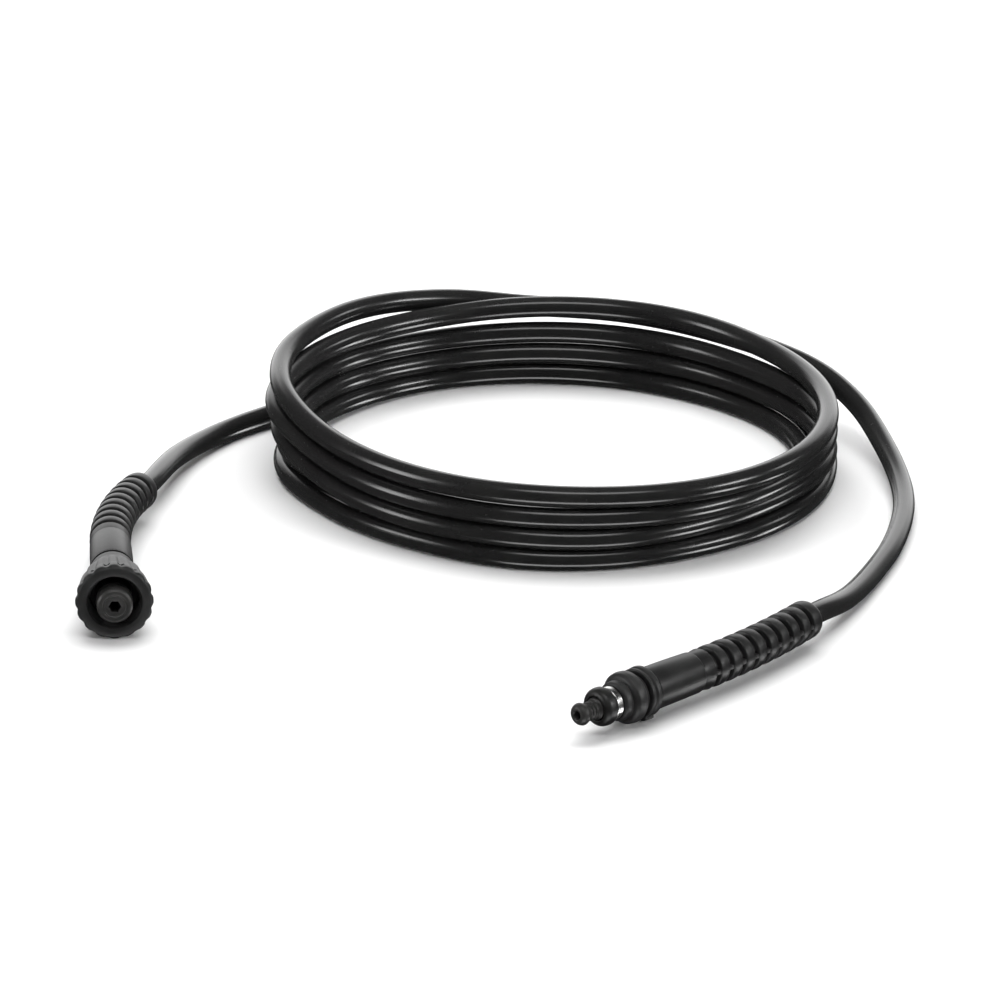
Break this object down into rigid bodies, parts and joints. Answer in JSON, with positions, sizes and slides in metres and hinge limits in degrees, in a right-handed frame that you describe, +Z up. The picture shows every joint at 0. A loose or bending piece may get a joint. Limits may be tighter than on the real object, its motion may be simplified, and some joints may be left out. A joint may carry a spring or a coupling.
{
  "type": "pressure washer hose",
  "caption": "Light high-pressure hose in a flat coil, with a hand-tight screw union on one end and a plug on the other, both with ribbed bend protectors.",
  "frame": {"origin": "on the floor, in the middle of the outer box", "axes": "+Z up, +Y away from the two fittings towards the back of the coil, +X to the right"},
  "size_m": [0.3482, 0.4409, 0.0465],
  "materials": {
    "hose_rubber": "semi-gloss black",
    "nut_plastic": "matte black",
    "protector_rubber": "matte dark grey",
    "stem_plastic": "satin dark grey",
    "seal_rubber": "satin black",
    "ring_steel": "bright turned"
  },
  "bodies": {
    "hose": {"hose_coil": "hose_rubber", "hose_tail_union": "hose_rubber", "hose_tail_plug": "hose_rubber", "union_stem": "stem_plastic", "bend_protector_union": "protector_rubber", "plug_stem": "stem_plastic", "plug_seal": "seal_rubber", "plug_ring": "ring_steel", "plug_body": "nut_plastic", "plug_lock_collar": "nut_plastic", "bend_protector_plug": "protector_rubber"},
    "nut": {"union_nut": "nut_plastic"}
  },
  "joints": [
    {"name": "nut_spin", "type": "hinge", "parent": "hose", "child": "nut", "pos_m": [-0.1579, -0.1047, 0.016], "axis": [0.0645, -0.9979, 0], "continuous": true}
  ]
}
